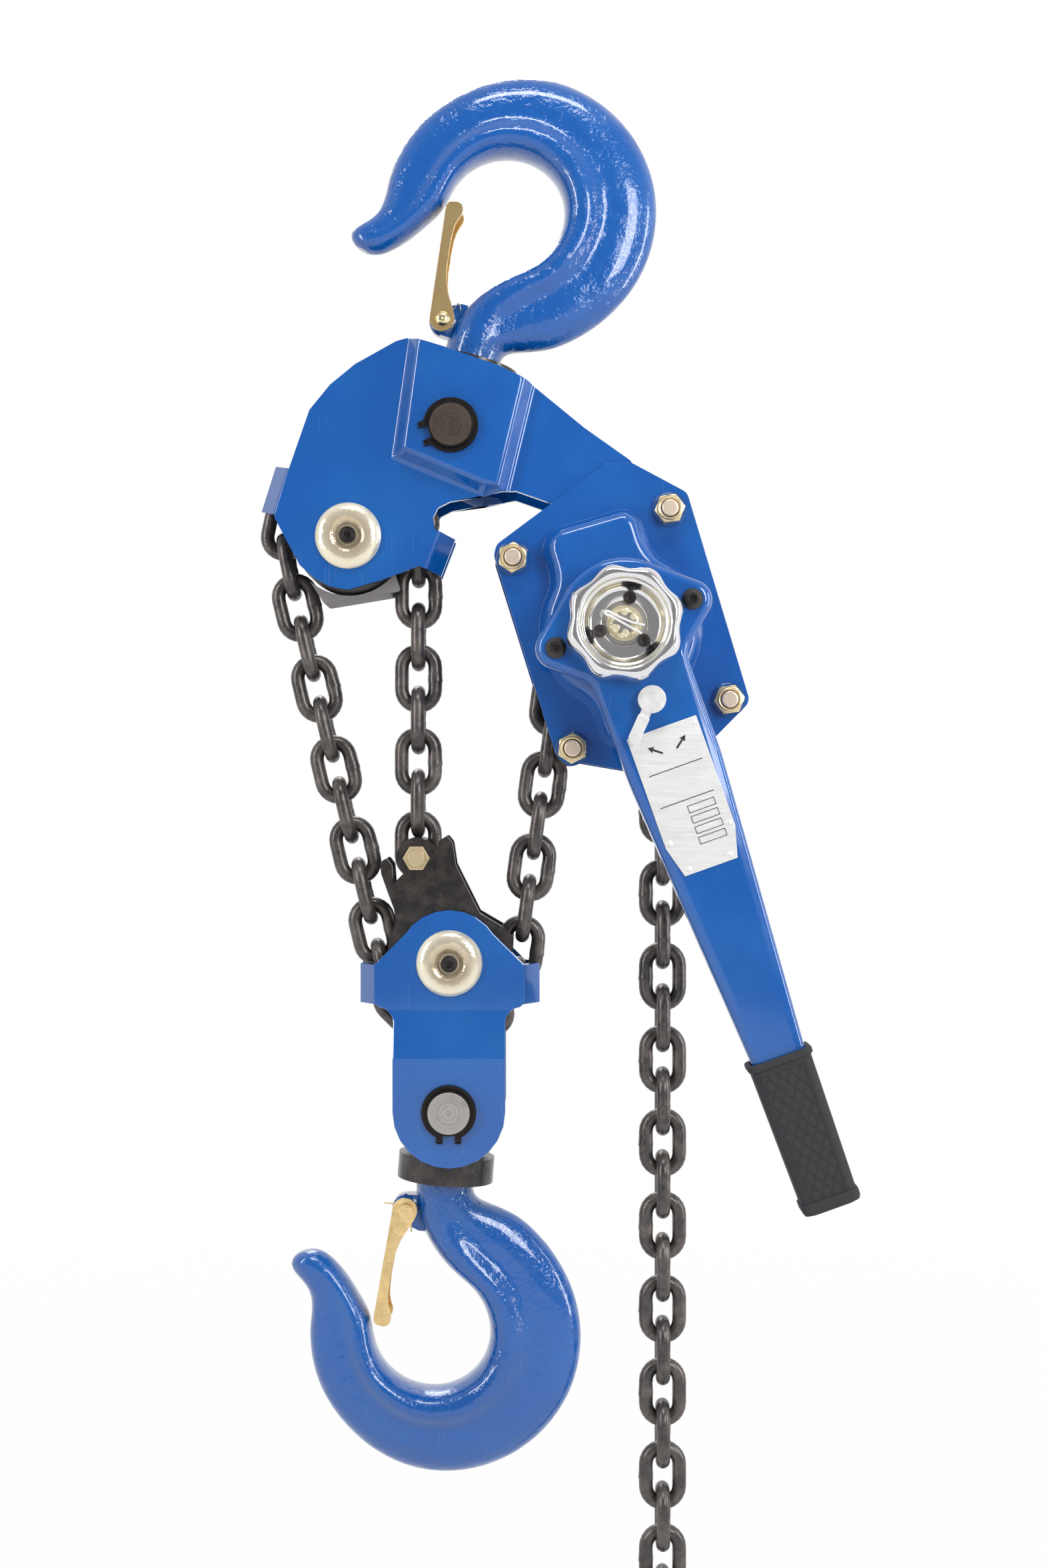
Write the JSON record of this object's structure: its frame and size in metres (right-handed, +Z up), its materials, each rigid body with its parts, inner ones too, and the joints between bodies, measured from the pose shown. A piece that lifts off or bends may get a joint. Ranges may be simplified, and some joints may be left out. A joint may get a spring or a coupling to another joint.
{
  "type": "come along winch",
  "caption": "Ratchet lever chain hoist with three falls of chain: top and load hooks with sprung latches, geared body with brake and hand wheel, lever and slack tail.",
  "frame": {"origin": "centre of the top hook's bowl, where the hoist hangs", "axes": "+Z up, +X to the right seen from the lever's side, +Y away from the lever, through the hook's bowl"},
  "size_m": [0.4187, 0.1715, 1.2439],
  "materials": {
    "blue enamel": "gloss enamel with fine scratches",
    "black oxide": "dark oxide, satin",
    "yellow zinc": "yellow passivated zinc",
    "steel": "machined",
    "chrome": "bright, slightly mottled",
    "name plate": "brushed",
    "rubber": "matt, cross-hatched",
    "friction lining": "pressed lining",
    "cast iron": "as cast"
  },
  "bodies": {
    "hook": {"top_hook": "blue enamel", "top_latch_pin": "yellow zinc", "top_latch_spring": "steel", "top_swivel_nut": "steel"},
    "hook_latch": {"top_latch": "yellow zinc"},
    "hook_holder": {"top_holder": "black oxide"},
    "frame": {"top_pin": "steel", "front_yoke_plate": "blue enamel", "rear_yoke_plate": "blue enamel", "stay_bolts": "yellow zinc", "body_nuts": "yellow zinc", "upper_bearing": "steel", "upper_axle": "steel", "upper_axle_caps": "yellow zinc", "upper_cap_screws": "black oxide", "upper_chain_guide": "cast iron", "chain_stripper": "cast iron", "sheave_bearings": "steel", "gear_case": "blue enamel", "brake_cover": "blue enamel", "pawl_pins": "steel", "chain_falls": "black oxide", "chain_wraps": "black oxide", "load_wrap": "black oxide", "lower_plates": "blue enamel", "lower_axle": "steel", "lower_axle_caps": "yellow zinc", "chain_anchor": "black oxide", "anchor_bolt": "yellow zinc", "lower_pin": "steel"},
    "load_drum": {"load_sheave": "steel", "load_gear": "steel"},
    "gear_a": {"intermediate_gear_a": "steel"},
    "gear_b": {"intermediate_gear_b": "steel"},
    "drive": {"pinion_shaft": "steel", "disc_hub": "steel", "friction_discs": "friction lining", "change_gear": "steel", "hand_wheel": "chrome", "wheel_screws": "black oxide", "castle_nut": "yellow zinc", "split_pin": "steel"},
    "ratchet": {"ratchet_disc": "steel"},
    "pawl_a": {"brake_pawl_a": "steel"},
    "pawl_b": {"brake_pawl_b": "steel"},
    "idler_top": {"upper_idler": "steel"},
    "idler_low": {"lower_idler": "steel"},
    "lever": {"lever_front_shell": "blue enamel", "lever_rear_shell": "blue enamel", "lever_screws": "black oxide", "grip": "rubber", "name_plate": "name plate"},
    "selector": {"selector": "chrome"},
    "tail": {"chain_tail": "black oxide", "chain_end_ring": "yellow zinc"},
    "load_holder": {"lower_holder": "black oxide"},
    "load_hook": {"lower_hook": "blue enamel", "lower_swivel_nut": "steel", "lower_latch_spring": "steel"},
    "load_latch": {"lower_latch": "yellow zinc"}
  },
  "joints": [
    {"name": "top latch", "type": "hinge", "parent": "hook", "child": "hook_latch", "pos_m": [-0.04634, 0, -0.07809], "axis": [0, 1, 0], "range_deg": [0, 44], "stiffness_Nm_per_rad": 0.3, "springref_deg": -20.05, "deforming": ["top_latch_spring"]},
    {"name": "top swivel", "type": "hinge", "parent": "hook", "child": "hook_holder", "pos_m": [-0.03964, 0, -0.15842], "axis": [0.2428, 0, 0.9701], "continuous": true},
    {"name": "top pin", "type": "hinge", "parent": "hook_holder", "child": "frame", "pos_m": [-0.03964, 0, -0.15842], "axis": [0, 1, 0], "range_deg": [-3, 0]},
    {"name": "load sheave", "type": "hinge", "parent": "frame", "child": "load_drum", "pos_m": [0.07976, 0, -0.30081], "axis": [0, 1, 0], "continuous": true, "deforming": ["load_wrap"]},
    {"name": "intermediate gear a", "type": "hinge", "parent": "frame", "child": "gear_a", "pos_m": [0.06727, 0, -0.26071], "axis": [0, 1, 0], "continuous": true},
    {"name": "intermediate gear b", "type": "hinge", "parent": "frame", "child": "gear_b", "pos_m": [0.09225, 0, -0.34092], "axis": [0, 1, 0], "continuous": true},
    {"name": "hand wheel and pinion shaft", "type": "hinge", "parent": "frame", "child": "drive", "pos_m": [0.07976, 0, -0.30081], "axis": [0, 1, 0], "continuous": true},
    {"name": "ratchet disc", "type": "hinge", "parent": "frame", "child": "ratchet", "pos_m": [0.07976, 0, -0.30081], "axis": [0, 1, 0], "continuous": true},
    {"name": "brake pawl a", "type": "hinge", "parent": "frame", "child": "pawl_a", "pos_m": [0.0822, 0, -0.2414], "axis": [0, 1, 0], "range_deg": [0, 14], "stiffness_Nm_per_rad": 0.05, "springref_deg": -22.92},
    {"name": "brake pawl b", "type": "hinge", "parent": "frame", "child": "pawl_b", "pos_m": [0.07731, 0, -0.36023], "axis": [0, 1, 0], "range_deg": [0, 14], "stiffness_Nm_per_rad": 0.05, "springref_deg": -22.92},
    {"name": "upper idler", "type": "hinge", "parent": "frame", "child": "idler_top", "pos_m": [-0.11274, 0, -0.23461], "axis": [0, 1, 0], "continuous": true},
    {"name": "lower idler", "type": "hinge", "parent": "frame", "child": "idler_low", "pos_m": [-0.04114, 0, -0.53672], "axis": [0, 1, 0], "continuous": true},
    {"name": "lever", "type": "hinge", "parent": "frame", "child": "lever", "pos_m": [0.07976, 0, -0.30081], "axis": [0, 1, 0], "range_deg": [-350, 0]},
    {"name": "selector", "type": "hinge", "parent": "lever", "child": "selector", "pos_m": [0.0983, 0, -0.3526], "axis": [0, 1, 0], "range_deg": [-88, 0]},
    {"name": "chain tail", "type": "hinge", "parent": "frame", "child": "tail", "pos_m": [0.11197, 0, -0.35908], "axis": [0, 1, 0], "range_deg": [-3, 5]},
    {"name": "load hook pin", "type": "hinge", "parent": "frame", "child": "load_holder", "pos_m": [-0.04114, 0, -0.64031], "axis": [0, 1, 0], "range_deg": [-8, 25]},
    {"name": "load hook swivel", "type": "hinge", "parent": "load_holder", "child": "load_hook", "pos_m": [-0.04114, 0, -0.64031], "axis": [0.075, 0, 0.9972], "continuous": true},
    {"name": "load latch", "type": "hinge", "parent": "load_hook", "child": "load_latch", "pos_m": [-0.07279, 0, -0.71445], "axis": [0, 1, 0], "range_deg": [-44, 0], "stiffness_Nm_per_rad": 0.3, "springref_deg": 20.05, "deforming": ["lower_latch_spring"]}
  ],
  "couplings": [
    {"joint": "intermediate gear a", "follows": "load sheave", "ratio": -3.2},
    {"joint": "intermediate gear b", "follows": "load sheave", "ratio": -3.2},
    {"joint": "hand wheel and pinion shaft", "follows": "load sheave", "ratio": 10.24},
    {"joint": "upper idler", "follows": "load sheave", "ratio": -0.26667},
    {"joint": "lower idler", "follows": "load sheave", "ratio": -0.53333}
  ]
}
